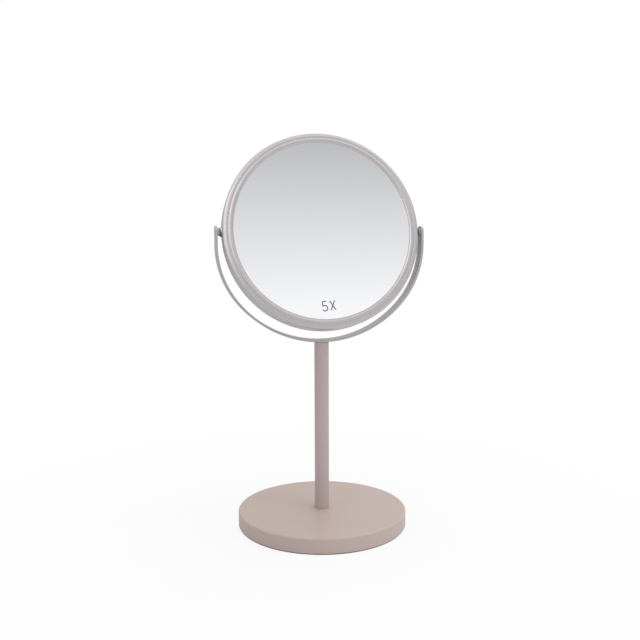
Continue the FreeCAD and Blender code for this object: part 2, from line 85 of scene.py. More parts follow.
class Net:                                    # one node tree
    def __init__(self, tree):
        self.tree = tree
        tree.nodes.clear()

    def node(self, kind, settings=None, sockets=None, out=0):
        made = self.tree.nodes.new(kind)
        for name, value in (settings or {}).items():
            setattr(made, name, value)
        for name, value in (sockets or {}).items():
            if isinstance(value, Wire):
                self.tree.links.new(value.socket, made.inputs[name])
            else:
                made.inputs[name].default_value = value
        return Wire(self, made.outputs[out]) if made.outputs else made

    def blend(self, factor, first, second):   # one colour into another
        return self.node("ShaderNodeMix", {"data_type": "RGBA"}, {0: factor, 6: first, 7: second}, out=2)

    def noise(self, where, grain, detail=2.0):    # soft spots of this size
        return self.node("ShaderNodeTexNoise", sockets={
            "Vector": where, "Scale": 1 / grain, "Detail": detail})

    def cells(self, where, grain):            # crisp cells of this size
        return self.node("ShaderNodeTexVoronoi", sockets={"Vector": where, "Scale": 1 / grain})


def newTree(name, inputs):                    # a geometry tree and its group input
    tree = bpy.data.node_groups.new(name, "GeometryNodeTree")
    tree.interface.new_socket("Geometry", in_out="INPUT", socket_type="NodeSocketGeometry")
    for label, kind in inputs.items():
        tree.interface.new_socket(label, in_out="INPUT", socket_type="NodeSocket" + kind)
    tree.interface.new_socket("Geometry", in_out="OUTPUT", socket_type="NodeSocketGeometry")
    net = Net(tree)
    return net, net.node("NodeGroupInput")


def endTree(net, given, geometry):
    real = net.node("GeometryNodeRealizeInstances", sockets={"Geometry": geometry})
    dressed = net.node("GeometryNodeSetMaterial", sockets={
        "Geometry": real, "Material": given.out("Material")})
    net.node("NodeGroupOutput", sockets={"Geometry": dressed})
    return net.tree


# shapes

def rgb(red, green, blue):                    # an sRGB colour as the shaders want it
    def linear(level):
        level /= 255
        return level / 12.92 if level <= 0.04045 else ((level + 0.055) / 1.055) ** 2.4
    return (linear(red), linear(green), linear(blue), 1.0)


def arcPoints(centre, radius, first, last, steps):
    angles = [radians(first + (last - first) * step / steps) for step in range(steps + 1)]
    return [(centre[0] + radius * cos(angle), centre[1] + radius * sin(angle)) for angle in angles]


def softened(corners, steps=6, hold=0.25 * mm):
    # An outline whose corners (x, y, radius) are rounded. A point a little way along each
    # flat keeps the shading of the flat apart from the shading of the round.
    outline = []
    for index, corner in enumerate(corners):
        here = Vector(corner[:2])
        radius = corner[2] if len(corner) > 2 else 0
        if not radius:
            outline.append(here)
            continue
        back = (Vector(corners[index - 1][:2]) - here).normalized()
        ahead = (Vector(corners[(index + 1) % len(corners)][:2]) - here).normalized()
        half = back.angle(ahead) / 2
        centre = here + (back + ahead).normalized() * radius / sin(half)
        start = here + back * radius / tan(half) - centre
        end = here + ahead * radius / tan(half) - centre
        first = atan2(start.y, start.x)
        sweep = (atan2(end.y, end.x) - first + pi) % (2 * pi) - pi
        outline.append(centre + start + back * hold)
        for step in range(steps + 1):
            angle = first + sweep * step / steps
            outline.append(centre + Vector((cos(angle), sin(angle))) * radius)
        outline.append(centre + end + ahead * hold)
    return [tuple(point) for point in outline]


def meshObject(name, points, edges=(), faces=()):
    mesh = bpy.data.meshes.new(name)
    mesh.from_pydata([(*point, 0)[:3] for point in points], edges, faces)
    made = bpy.data.objects.new(name, mesh)
    bpy.context.scene.collection.objects.link(made)
    return made


def lineObject(name, lines):                  # open or closed lines: (points, closed)
    points, edges = [], []
    for line, closed in lines:
        first = len(points)
        points += line
        edges += [(first + index, first + index + 1) for index in range(len(line) - 1)]
        if closed:
            edges.append((len(points) - 1, first))
    return meshObject(name, points, edges)


sharpFrom = radians(32)                       # faces that meet at more than this keep a sharp edge


def settled(made, place=Matrix()):            # modifiers made real, faces outwards, in its place
    evaluated = made.evaluated_get(bpy.context.evaluated_depsgraph_get())
    mesh = bpy.data.meshes.new_from_object(evaluated)
    made.modifiers.clear()
    made.data = mesh
    mesh.name = made.name
    work = bmesh.new()
    work.from_mesh(mesh)
    bmesh.ops.transform(work, matrix=place, verts=work.verts)
    bmesh.ops.recalc_face_normals(work, faces=work.faces)
    for face in work.faces:
        face.smooth = True
    work.to_mesh(mesh)
    work.free()
    mesh.set_sharp_from_angle(angle=sharpFrom)
    return made


def runTree(made, tree, values, place=Matrix()):
    modifier = made.modifiers.new(tree.name, "NODES")
    modifier.node_group = tree
    for item in tree.interface.items_tree:
        if item.name in values:
            modifier[item.identifier] = values[item.name]
    return settled(made, place)


def turnedTree():                             # spins a section round an axis, as on a lathe
    net, given = newTree("turned", {"Ring": "Float", "Steps": "Int", "Material": "Material"})
    section = net.node("GeometryNodeMeshToCurve", sockets={"Mesh": given.out("Geometry")})
    ring = net.node("GeometryNodeCurvePrimitiveCircle", sockets={
        "Resolution": given.out("Steps"), "Radius": given.out("Ring")})
    swept = net.node("GeometryNodeCurveToMesh", sockets={"Curve": ring, "Profile Curve": section})
    merged = net.node("GeometryNodeMergeByDistance", sockets={"Geometry": swept, "Distance": 0.001 * mm})
    return endTree(net, given, merged)


lathe = {
    "tree": turnedTree(),
    "ring": 20 * mm,                          # radius of the ring that a section is swept along
    "steps": 240,
}
faceForward = Matrix.Rotation(radians(90), 4, "X")     # an axis along Z turned to -Y
faceBack = Matrix.Rotation(radians(-90), 4, "X")
faceRight = Matrix.Rotation(radians(90), 4, "Y")
faceLeft = Matrix.Rotation(radians(-90), 4, "Y")


def turned(name, outline, material, place=Matrix(), solid=False):
    # outline is (radius, height); a solid's starts and ends on the axis
    section = [(radius - lathe["ring"], -height) for radius, height in outline]
    return runTree(lineObject(name, [(section, not solid)]), lathe["tree"], {
        "Ring": lathe["ring"], "Steps": lathe["steps"], "Material": material}, place)


# finishes

def newFinish(name, colour, roughness, metallic=0.0, **fixed):
    material = bpy.data.materials.new(name)
    material.use_nodes = True
    net = Net(material.node_tree)
    where = net.node("ShaderNodeTexCoord", out="Object")
    shader = net.node("ShaderNodeBsdfPrincipled", sockets={
        "Base Color": colour, "Roughness": roughness, "Metallic": metallic, **fixed})
    net.node("ShaderNodeOutputMaterial", sockets={"Surface": shader})
    return material, net, where, shader.socket.node


def join(net, shader, **wires):               # links into a finished shader
    for name, wire in wires.items():
        net.tree.links.new(wire.socket, shader.inputs[name.replace("_", " ")])


def bumped(net, height, depth):
    return net.node("ShaderNodeBump", sockets={"Height": height, "Distance": depth, "Strength": 1.0})


satin = {                                     # what every coat of the enamel starts from
    "roughness": 0.42,
    "unevenness": 0.12,                       # in its roughness
    "shine": 0.5,
    "pearl": 0.0,                             # how metallic it is
    "cloud": 24 * mm,
    "clouding": 0.5,
    "speck": 0.35 * mm,
    "specking": 0.25,
    "peel": 1.3 * mm,
    "peelDepth": 0.004 * mm,
    "contrast": 4,                            # of clouds and specks, in levels of 255
}


def paintLook(red, green, blue, **changes):
    look = {**satin, **changes}
    contrast = look["contrast"]
    look["colour"] = rgb(red, green, blue)
    look["deep"] = rgb(red - contrast, green - contrast, blue - contrast)
    look["pale"] = rgb(red + contrast, green + contrast, blue + contrast)
    return look


def satinPaint(name, look):                   # sprayed satin enamel: faint clouds and a fine orange peel
    material, net, where, shader = newFinish(name, look["colour"], look["roughness"], look["pearl"],
                                             **{"Specular IOR Level": look["shine"]})
    cloud = net.noise(where, look["cloud"], 3.0)
    peel = net.noise(where, look["peel"], 1.0)
    speck = net.noise(where, look["speck"], 0.0)
    tone = net.blend((cloud - 0.5) * look["clouding"] + (speck - 0.5) * look["specking"] + 0.5,
                     look["deep"], look["pale"])
    join(net, shader, Base_Color=tone, Roughness=look["roughness"] + (peel - 0.5) * look["unevenness"],
         Normal=bumped(net, peel, look["peelDepth"]))
    return material


chromeLook = {"colour": rgb(182, 180, 178), "haze": 1.6 * mm, "roughness": 0.15, "unevenness": 0.08}
silverLook = {"colour": rgb(246, 247, 248), "cool": rgb(245, 246, 248), "warm": rgb(248, 248, 249),
              "film": 30 * mm, "roughness": 0.012}
inkLook = {"colour": rgb(112, 112, 113), "thick": rgb(98, 98, 99), "thin": rgb(122, 122, 123),
           "grain": 0.25 * mm, "roughness": 0.5}
ironLook = {"colour": rgb(70, 68, 66), "deep": rgb(52, 50, 48), "pale": rgb(88, 84, 80),
            "sand": 0.7 * mm, "sandDepth": 0.25 * mm, "roughness": 0.8, "metallic": 0.6}
steelLook = {"colour": rgb(176, 178, 180), "spangle": 0.8 * mm, "roughness": 0.26, "unevenness": 0.2}
plasticLook = {"texture": 0.4 * mm, "textureDepth": 0.02 * mm, "roughness": 0.44, "unevenness": 0.12}
foamLook = {"cell": 0.55 * mm, "cellDepth": 0.12 * mm, "deep": 0.8, "pale": 1.1, "roughness": 0.9}


def platedChrome():
    look = chromeLook
    material, net, where, shader = newFinish("platedChrome", look["colour"], look["roughness"], 1.0)
    haze = net.noise(where, look["haze"])
    join(net, shader, Roughness=look["roughness"] + haze * look["unevenness"])
    return material


def mirrorSilver():                           # silvered glass, with the faintest cloud in its film
    look = silverLook
    material, net, where, shader = newFinish("mirrorSilver", look["colour"], look["roughness"], 1.0)
    film = net.noise(where, look["film"])
    join(net, shader, Base_Color=net.blend(film, look["cool"], look["warm"]))
    return material


def markInk():
    look = inkLook
    material, net, where, shader = newFinish("markInk", look["colour"], look["roughness"])
    grain = net.noise(where, look["grain"])
    join(net, shader, Base_Color=net.blend(grain, look["thick"], look["thin"]))
    return material


def castIron():
    look = ironLook
    material, net, where, shader = newFinish(
        "castIron", look["colour"], look["roughness"], look["metallic"])
    sand = net.noise(where, look["sand"], 4.0)
    join(net, shader, Base_Color=net.blend(sand, look["deep"], look["pale"]),
         Normal=bumped(net, sand, look["sandDepth"]))
    return material


def zincSteel():
    look = steelLook
    material, net, where, shader = newFinish("zincSteel", look["colour"], look["roughness"], 1.0)
    spangle = net.cells(where, look["spangle"])
    join(net, shader, Roughness=look["roughness"] + spangle * look["unevenness"])
    return material


def mouldedPlastic(name, red, green, blue):
    look = plasticLook
    material, net, where, shader = newFinish(name, rgb(red, green, blue), look["roughness"])
    texture = net.noise(where, look["texture"], 3.0)
    join(net, shader, Roughness=look["roughness"] + texture * look["unevenness"],
         Normal=bumped(net, texture, look["textureDepth"]))
    return material


def foamSheet(name, red, green, blue):        # closed cells, cut skin
    look = foamLook
    material, net, where, shader = newFinish(name, rgb(red, green, blue), look["roughness"])
    cells = net.cells(where, look["cell"])
    deep, pale = (rgb(red * share, green * share, blue * share) for share in (look["deep"], look["pale"]))
    join(net, shader, Base_Color=net.blend(cells, deep, pale),
         Normal=bumped(net, cells, look["cellDepth"]))
    return material


# One enamel covers the foot, stem, yoke and head. Its copies differ in colour only to stand in for how
# light falls on each piece: the stem's is a little darker as painted shade, and the yoke's and the head's
# are greyer, the head's also paler, as painted sheen.
footPaint = satinPaint("footPaint", paintLook(192, 174, 165))
stemPaint = satinPaint("stemPaint", paintLook(187, 171, 168))
yokePaint = satinPaint("yokePaint", paintLook(189, 183, 181, pearl=0.2, shine=0.35))
headPaint = satinPaint("headPaint", paintLook(198, 193, 192, pearl=0.5, roughness=0.32))
chrome = platedChrome()
silver = mirrorSilver()
ink = markInk()
nylon = mouldedPlastic("nylon", 214, 212, 206)
padFoam = foamSheet("padFoam", 60, 58, 57)
slotFinish = {
    "iron": castIron(), "steel": zincSteel(), "core_plastic": mouldedPlastic("corePlastic", 52, 52, 54),
    "plate_plastic": mouldedPlastic("platePlastic", 44, 43, 43), "nylon": nylon,
    "foam": foamSheet("foam", 210, 208, 204), "pad_foam": padFoam,
    "paint": footPaint, "plating": chrome, "mirror_glass": silver}
for node in frame["nodes"].values():
    for place in node.material_slots:
        place.material = slotFinish[place.material.name]
for place in frame["nodes"]["yoke_screw"].material_slots:
    place.material = yokePaint                # sprayed together with the yoke
print("finishes made:", len(bpy.data.materials))


def onStand(piece, slot, *nodes):
    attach(piece, "stand")
    if nodes:
        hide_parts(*nodes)


def onHead(piece, slot, *nodes):
    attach(piece, "head")
    if nodes:
        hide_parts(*nodes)


# foot

foot = {
    "radius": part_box("base_cover")[1].x,
    "rim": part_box("base_cover")[0].z,         # the cover's rim above the table
    "top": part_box("base_cover")[1].z,
    "wall": 0.8 * mm,
    "edge": 1.4 * mm,                         # round of the top edge
    "rimInside": 0.25 * mm,                   # rounds of the lower rim
    "rimOutside": 0.35 * mm,
    "hole": 3.2 * mm,
    "padEdge": 0.4 * mm,                      # rounds of the pad's edges
    "padTop": 0.2 * mm,
}


def footCover():
    inside = foot["radius"] - foot["wall"]
    outline = softened([
        (foot["hole"], foot["top"] - foot["wall"]),
        (inside, foot["top"] - foot["wall"], foot["edge"] - foot["wall"]),
        (inside, foot["rim"], foot["rimInside"]),
        (foot["radius"], foot["rim"], foot["rimOutside"]),
        (foot["radius"], foot["top"], foot["edge"]),
        (foot["hole"], foot["top"]),
    ])
    onStand(turned("foot_cover", outline, footPaint), "paint", "base_cover")


def footPad():
    low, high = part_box("base_pad")
    outline = softened([(0, low.z), (high.x, low.z, foot["padEdge"]), (high.x, high.z, foot["padTop"]),
                        (0, high.z)], 4)
    onStand(turned("foot_pad", outline, padFoam, solid=True), "pad_foam", "base_pad")


footCover()
footPad()

# stem

stem = {
    "radius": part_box("stem_tube")[1].x,
    "foot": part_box("stem_tube")[0].z,
    "top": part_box("stem_tube")[1].z,
    "wall": 1.0 * mm,
    "edge": 0.3 * mm,                         # rounds of the tube's ends, outside and in the bore
    "boreEdge": 0.1 * mm,
    "gap": 0.35 * mm,                         # shadow line between the tube and the yoke on its plug
}


def stemTube():
    bore = stem["radius"] - stem["wall"]
    top = stem["top"] - stem["gap"]
    outline = softened([
        (bore, stem["foot"], stem["boreEdge"]),
        (stem["radius"], stem["foot"], stem["edge"]),
        (stem["radius"], top, stem["edge"]),
        (bore, top, stem["boreEdge"]),
    ])
    onStand(turned("stem_tube_body", outline, stemPaint), "paint", "stem_tube")


stemTube()
print("foot and stem made")

# yoke: a flat blank with round ends, bent along its middle line, then drilled

yoke = {
    "outside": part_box("yoke")[1].x,
    "tip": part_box("yoke")[1].z - pivot.z,     # ends of the arms above the tilt axis
    "drop": pivot.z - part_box("yoke")[0].z,
    "width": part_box("yoke")[1].y * 2,
    "thickness": 2.0 * mm,
    "edge": 0.6 * mm,                         # round of the long edges, and its segments
    "edgeSteps": 5,
    "armStraight": 11.0 * mm,
    "turn": 41.0,                             # where the side bends meet the bottom bend
    "endRadius": 5.1 * mm,
    "hole": 2.85 * mm,
    "screw": 2.6 * mm,                        # its hole, under a 90 degree countersink
    "countersink": 1.9 * mm,
    "rim": 0.2 * mm,                          # softened rim of the arms' holes
    "spacing": 1.5 * mm,                      # rows along the blank
    "endRows": 12,                            # rows on each round end
    "lineSteps": (160, 120, 30),              # of the middle line: bottom bend, side bend, arm
}


def yokeLine():
    # the middle line of half the yoke, from the bottom up to the arm's tip: straight runs and arcs
    half = yoke["thickness"] / 2
    turn = radians(yoke["turn"])
    bendHeight = yoke["drop"] - yoke["armStraight"]
    step = (yoke["outside"] - bendHeight) / (cos(turn) + sin(turn) - 1)
    sideRadius = bendHeight - step * (1 - sin(turn))
    bottomRadius = sideRadius + step
    bottomCentre = (0, bottomRadius - yoke["drop"])
    sideCentre = (yoke["outside"] - sideRadius, -yoke["armStraight"])
    bottomSteps, sideSteps, armSteps = yoke["lineSteps"]
    line = arcPoints(bottomCentre, bottomRadius - half, -90, -yoke["turn"], bottomSteps)
    line += arcPoints(sideCentre, sideRadius - half, -yoke["turn"], 0, sideSteps)[1:]
    armFoot, armLength = line[-1][1], yoke["tip"] - line[-1][1]
    line += [(yoke["outside"] - half, armFoot + armLength * step / armSteps)
             for step in range(1, armSteps + 1)]
    return line


def yokeBlank(length):
    # rows of points across the blank; the end rows follow the round ends
    radius, wide, endRows = yoke["endRadius"], yoke["width"] / 2, yoke["endRows"]
    straight = length / 2 - radius
    rows = []
    for step in range(endRows):
        angle = radians(90 * step / endRows)
        rows.append((straight + radius * cos(angle), wide - radius + radius * sin(angle)))
    gaps = round(2 * straight / yoke["spacing"])
    rows += [(straight - 2 * straight * step / gaps, wide) for step in range(gaps + 1)]
    rows += [(-along, across) for along, across in reversed(rows[:endRows])]
    columns = [-1, -0.5, 0, 0.5, 1]
    half = yoke["thickness"] / 2
    points = [(along, across * column, height) for height in (-half, half)
              for along, across in rows for column in columns]
    count, layer = len(columns), len(rows) * len(columns)
    faces = []
    for row in range(len(rows) - 1):
        first = row * count
        for here in range(first, first + count - 1):          # under and upper side
            low = [here, here + 1, here + 1 + count, here + count]
            faces += [low[::-1], [index + layer for index in low]]
        for edge in (first, first + count - 1):
            faces.append([edge, edge + count, edge + count + layer, edge + layer])
    for first in (0, layer - count):                          # the two ends
        for here in range(first, first + count - 1):
            faces.append([here, here + 1, here + 1 + layer, here + layer])
    return meshObject("yoke_strip", points, faces=faces)


def bentTree():                               # bends a flat blank along the line of another object
    net, given = newTree("bent", {"Line": "Object", "Length": "Float", "Material": "Material"})
    line = net.node("GeometryNodeObjectInfo", sockets={"Object": given.out("Line")}, out="Geometry")
    path = net.node("GeometryNodeMeshToCurve", sockets={"Mesh": line})
    place = net.node("ShaderNodeSeparateXYZ", sockets={0: net.node("GeometryNodeInputPosition")})
    spot = net.node("GeometryNodeSampleCurve", {"mode": "LENGTH"}, {
        "Curves": path, "Length": place.out("X") + given.out("Length") * 0.5}, out="Position")
    tangent = net.node("ShaderNodeSeparateXYZ", sockets={0: spot.out("Tangent")})
    height = place.out("Z")
    across = net.node("ShaderNodeCombineXYZ", sockets={
        "X": height * tangent.out("Z") * -1, "Y": place.out("Y"), "Z": height * tangent.out("X")})
    moved = net.node("ShaderNodeVectorMath", {"operation": "ADD"}, {0: spot, 1: across})
    bent = net.node("GeometryNodeSetPosition", sockets={
        "Geometry": given.out("Geometry"), "Position": moved})
    return endTree(net, given, bent)


def yokeStrip():
    half = [Vector((x, 0, z)) for x, z in yokeLine()]
    line = [Vector((-point.x, 0, point.z)) for point in reversed(half[1:])] + half
    length = sum((line[index + 1] - line[index]).length for index in range(len(line) - 1))
    guide = lineObject("yoke_line", [([tuple(point) for point in line], False)])
    strip = runTree(yokeBlank(length), bentTree(), {
        "Line": guide, "Length": length, "Material": yokePaint}, Matrix.Translation(pivot))
    bevel = strip.modifiers.new("edges", "BEVEL")
    bevel.width = yoke["edge"]
    bevel.segments = yoke["edgeSteps"]
    bevel.limit_method = "ANGLE"
    bevel.angle_limit = radians(60)
    # cutters are (radius, height), and stand a millimetre proud of the strip at both ends
    hole, rim, screw, depth = yoke["hole"], yoke["rim"], yoke["screw"], yoke["countersink"]
    inside, outside = yoke["outside"] - yoke["thickness"], yoke["outside"]
    drill = [(0, inside - mm), (hole + rim + mm, inside - mm), (hole, inside + rim),
             (hole, outside - rim), (hole + rim + mm, outside + mm), (0, outside + mm)]
    under, face = -yoke["drop"], -yoke["drop"] + yoke["thickness"]
    sink = [(0, under - mm), (screw, under - mm), (screw, face - depth), (screw + depth, face),
            (screw + depth, face + mm), (0, face + mm)]
    cutters = [turned("drill_right", drill, yokePaint, Matrix.Translation(pivot) @ faceRight, True),
               turned("drill_left", drill, yokePaint, Matrix.Translation(pivot) @ faceLeft, True),
               turned("countersink", sink, yokePaint, Matrix.Translation(pivot), True)]
    for cutter in cutters:
        cut = strip.modifiers.new(cutter.name, "BOOLEAN")
        cut.operation = "DIFFERENCE"
        cut.solver = "EXACT"
        cut.object = cutter
    settled(strip)
    for spare in (guide, *cutters):
        bpy.data.objects.remove(spare)
    onStand(strip, "paint", "yoke")


yokeStrip()
print("yoke made")

# pivots

boss = {
    "seat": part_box("head_band")[1].x,
    "end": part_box("pivot_boss_right")[1].x,
    "tail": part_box("pivot_boss_right")[0].x,
    "cone": 9.6 * mm,
    "coneLength": 2.0 * mm,
    "neck": 6.8 * mm,
    "groove": 0.6 * mm,
    "grooveLength": 0.3 * mm,
    "collar": 0.9 * mm,
    "pin": 4.0 * mm,
    "sink": 0.25 * mm,                        # its seat is hollowed to the round band
    "coneRim": 0.2 * mm,                      # straight edge of the cone at its seat
    "edge": 0.2 * mm,                         # rounds, and the finer ones beside the groove
    "fineEdge": 0.15 * mm,
    "pinEdge": 0.3 * mm,
}
bush = {
    "start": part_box("pivot_bush_right")[0].x,
    "end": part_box("pivot_bush_right")[1].x,
    "flange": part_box("pivot_bush_right")[1].y,
    "flangeThickness": 0.5 * mm,
    "sleeve": 2.75 * mm,
    "bore": 2.05 * mm,
    "edge": 0.15 * mm,                        # rounds, and the finer ones at the flange's ends
    "fineEdge": 0.1 * mm,
}
lean = 11.8                                   # degrees that the head leans back at rest
onHeadPlane = Matrix.Translation(pivot) @ Matrix.Rotation(radians(-lean), 4, "X")


def pivotBoss(name, node, facing):
    pin, neck, cone = boss["pin"] / 2, boss["neck"] / 2, boss["cone"] / 2
    edge, fineEdge = boss["edge"], boss["fineEdge"]
    seat = boss["seat"] - boss["sink"]
    shoulder = boss["seat"] + boss["coneLength"]
    collar = shoulder + boss["grooveLength"]
    outline = softened([
        (0, boss["tail"]),
        (pin, boss["tail"], edge),
        (pin, seat),
        (cone, seat),
        (cone, boss["seat"] + boss["coneRim"], fineEdge),
        (neck, shoulder, edge),
        (neck - boss["groove"], shoulder),
        (neck - boss["groove"], collar),
        (neck, collar, fineEdge),
        (neck, collar + boss["collar"], edge),
        (pin, collar + boss["collar"]),
        (pin, boss["end"], boss["pinEdge"]),
        (0, boss["end"]),
    ], 5, 0.05 * mm)
    onHead(turned(name, outline, chrome, onHeadPlane @ facing, True), "plating", node)


def pivotBush(name, node, facing):
    step = bush["start"] + bush["flangeThickness"]
    edge, fineEdge = bush["edge"], bush["fineEdge"]
    outline = softened([
        (bush["bore"], bush["start"], fineEdge),
        (bush["flange"], bush["start"], edge),
        (bush["flange"], step, fineEdge),
        (bush["sleeve"], step),
        (bush["sleeve"], bush["end"], edge),
        (bush["bore"], bush["end"], edge),
    ], 4, 0.04 * mm)
    onStand(turned(name, outline, nylon, Matrix.Translation(pivot) @ facing), "nylon", node)


for side, facing in (("right", faceRight), ("left", faceLeft)):
    pivotBoss("boss_" + side, "pivot_boss_" + side, facing)
    pivotBush("bush_" + side, "pivot_bush_" + side, facing)
print("pivots made")

# head: sections are (radius, height above the head's middle plane)

band = {
    "radius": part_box("head_band")[1].x,
    "wall": 0.7 * mm,
    "roll": 3.4 * mm,                         # outside radius of the rolled edge
    "rollTurn": 100,                          # how far it turns, degrees
    "flat": 5.581 * mm,                       # half the width of the flat of the band
    "hold": 0.4 * mm,                         # keeps the shading of the flat apart from the roll's
    "endRound": 0.92,                         # the roll's edge, as a share of half the wall
}
bezel = {
    "flange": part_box("front_bezel")[1].x,
    "seat": 6.2 * mm,                         # the flange sits on the core ring
    "flangeTop": 7.4 * mm,
    "bottom": 8.74 * mm,                      # just clear of the hollow glass
    "lip": (76.0 * mm, 9.1 * mm),             # narrow flat beside the glass
    "bead": ((76.7 * mm, 9.12 * mm), (80.35 * mm, 8.95 * mm)),   # feet of its round bead
    "crown": 0.93 * mm,                       # height of the bead over them
    "outside": (80.86 * mm, 8.86 * mm),       # a fine joint is left between it and the hoop
    "skirt": 78.286 * mm,                     # its inner wall, round the edge of the glass
    "lipEdge": 0.2 * mm,                      # rounds
    "outsideEdge": 0.08 * mm,
    "flangeEdge": 0.12 * mm,
}
glass = {
    "radius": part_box("plain_glass")[1].x,
    "front": 9.0 * mm,
    "thickness": 2.0 * mm,
    "curve": 580 * mm,                        # radius of the magnifying face
    "rings": 26,
    "bevel": 0.3 * mm,
}


def headBand():
    turn, wall = band["rollTurn"], band["wall"]
    centre = (band["radius"] - band["roll"], band["flat"])
    inner, middle = band["roll"] - wall, band["roll"] - wall + wall / 2
    end = (centre[0] + middle * cos(radians(turn)), centre[1] + middle * sin(radians(turn)))
    # from the flat round the outside of the roll, over its edge and back along the inside
    side = [(band["radius"], band["flat"] - band["hold"])]
    side += arcPoints(centre, band["roll"], 0, turn - 6, 22)
    side += arcPoints(end, wall / 2 * band["endRound"], turn + 10, turn + 170, 6)
    side += arcPoints(centre, inner, turn - 8, 0, 14)
    side += [(band["radius"] - wall, band["flat"] - band["hold"])]
    outline = side + [(radius, -height) for radius, height in reversed(side)]
    onHead(turned("head_hoop", outline, headPaint, onHeadPlane @ faceForward), "paint", "head_band")


def bezelOutline():
    inner, outer = (Vector(foot) for foot in bezel["bead"])
    chord = outer - inner
    radius = chord.length_squared / (8 * bezel["crown"]) + bezel["crown"] / 2
    centre = (inner + outer) / 2 - Vector((-chord.y, chord.x)).normalized() * (radius - bezel["crown"])
    first, last = (degrees(atan2(foot.y - centre.y, foot.x - centre.x)) for foot in (inner, outer))
    return softened([
        (bezel["lip"][0], bezel["bottom"]),
        (*bezel["lip"], bezel["lipEdge"]),
        *arcPoints(centre, radius, first, last, 24),
        (*bezel["outside"], bezel["outsideEdge"]),
        (bezel["outside"][0], bezel["flangeTop"]),
        (bezel["flange"], bezel["flangeTop"], bezel["flangeEdge"]),
        (bezel["flange"], bezel["seat"], bezel["flangeEdge"]),
        (bezel["skirt"], bezel["seat"]),
        (bezel["skirt"], bezel["bottom"]),
    ], 8, 0.02 * mm)


def glassDisc(name, node, curve, facing):
    # a curved glass is hollow on its polished face
    def depth(radius):
        return curve - sqrt(curve * curve - radius * radius) if curve else 0

    rim, bevel = glass["radius"], glass["bevel"]
    lowest = glass["front"] - depth(rim)
    front = [rim * step / glass["rings"] for step in range(glass["rings"])] + [rim - bevel]
    outline = [(radius, lowest + depth(radius)) for radius in front]
    outline += [(rim, glass["front"] - bevel), (rim, glass["front"] - glass["thickness"] + bevel)]
    outline += [(radius, lowest + depth(radius) - glass["thickness"]) for radius in reversed(front)]
    onHead(turned(name, outline, silver, onHeadPlane @ facing, True), "mirror_glass", node)


def beadedRing(name, node, facing):
    onHead(turned(name, bezelOutline(), headPaint, onHeadPlane @ facing), "paint", node)


headBand()
beadedRing("bezel_front", "front_bezel", faceForward)
beadedRing("bezel_rear", "rear_bezel", faceBack)
glassDisc("glass_magnifying", "magnifying_glass", glass["curve"], faceForward)
glassDisc("glass_plain", "plain_glass", 0, faceBack)
print("head made")

# magnification mark: strokes that lie on the hollow glass

mark = {
    "centre": (2.3 * mm, -64.6 * mm),         # right of the middle of the glass, and below it
    "turn": 4.9,
    "height": 8.2 * mm,
    "stroke": 0.95 * mm,
    "thickness": 0.05 * mm,
    "lift": 0.6,                              # of its middle off the glass, as a share of its thickness
    "spacing": 0.3 * mm,                      # points along a stroke
    "fiveLeft": -5.7 * mm,
    "fiveWidth": 4.0 * mm,
    "flagShort": 0.5 * mm,                    # how far the five's flag ends short of its width
    "backIn": (0.3 * mm, 0.1 * mm),           # top and foot of its back, in from the left
    "bowl": 2.35 * mm,                        # radius of its bowl
    "bowlFrom": 132,                          # where the bowl starts and ends, degrees
    "bowlTo": -150,
    "bowlSteps": 28,
    "crossLeft": 0.85 * mm,
    "crossWidth": 4.3 * mm,
}


def markTree():                               # gives lines a flat width and lays them on a hollow face
    net, given = newTree("strokes", {"Stroke": "Float", "Thickness": "Float", "Spacing": "Float",
                                     "Curve": "Float", "Centre": "Float", "Material": "Material"})
    lines = net.node("GeometryNodeMeshToCurve", sockets={"Mesh": given.out("Geometry")})
    fine = net.node("GeometryNodeResampleCurve", {"mode": "LENGTH"}, {
        "Curve": lines, "Length": given.out("Spacing")})
    flat = net.node("GeometryNodeSetCurveNormal", {"mode": "Z_UP"}, {"Curve": fine})
    pen = net.node("GeometryNodeCurvePrimitiveQuadrilateral", sockets={
        "Width": given.out("Stroke"), "Height": given.out("Thickness")})
    body = net.node("GeometryNodeCurveToMesh", sockets={
        "Curve": flat, "Profile Curve": pen, "Fill Caps": True})
    place = net.node("ShaderNodeSeparateXYZ", sockets={0: net.node("GeometryNodeInputPosition")})
    curve = given.out("Curve")
    reach = (curve * curve - place.out("X") ** 2 - place.out("Y") ** 2) ** 0.5
    lift = net.node("ShaderNodeCombineXYZ", sockets={"Z": given.out("Centre") + curve - reach})
    laid = net.node("GeometryNodeSetPosition", sockets={"Geometry": body, "Offset": lift})
    return endTree(net, given, laid)


def magnificationMark():
    half = mark["height"] / 2
    left, right = mark["fiveLeft"], mark["fiveLeft"] + mark["fiveWidth"]
    backTop, backFoot = mark["backIn"]
    bowlCentre = (right - mark["bowl"], mark["bowl"] - half)
    bowl = arcPoints(bowlCentre, mark["bowl"], mark["bowlFrom"], mark["bowlTo"], mark["bowlSteps"])
    five = [(right - mark["flagShort"], half), (left + backTop, half), (left + backFoot, bowl[0][1])]
    crossLeft, crossRight = mark["crossLeft"], mark["crossLeft"] + mark["crossWidth"]
    strokes = [five + bowl, [(crossLeft, half), (crossRight, -half)],
               [(crossRight, half), (crossLeft, -half)]]
    # their own X and Y are the head's right and up, and their Z looks forward
    spin = Matrix.Rotation(radians(mark["turn"]), 2)
    lines = [([tuple(spin @ Vector(point) + Vector(mark["centre"])) for point in stroke], False)
             for stroke in strokes]
    curve = glass["curve"]
    deepest = glass["front"] - (curve - sqrt(curve ** 2 - glass["radius"] ** 2))
    laid = runTree(lineObject("magnification_mark", lines), markTree(), {
        "Stroke": mark["stroke"], "Thickness": mark["thickness"], "Spacing": mark["spacing"],
        "Curve": curve, "Centre": deepest + mark["thickness"] * mark["lift"],
        "Material": ink}, onHeadPlane @ faceForward)
    onHead(laid, "mirror_glass")


magnificationMark()
print("mark made")

# stage

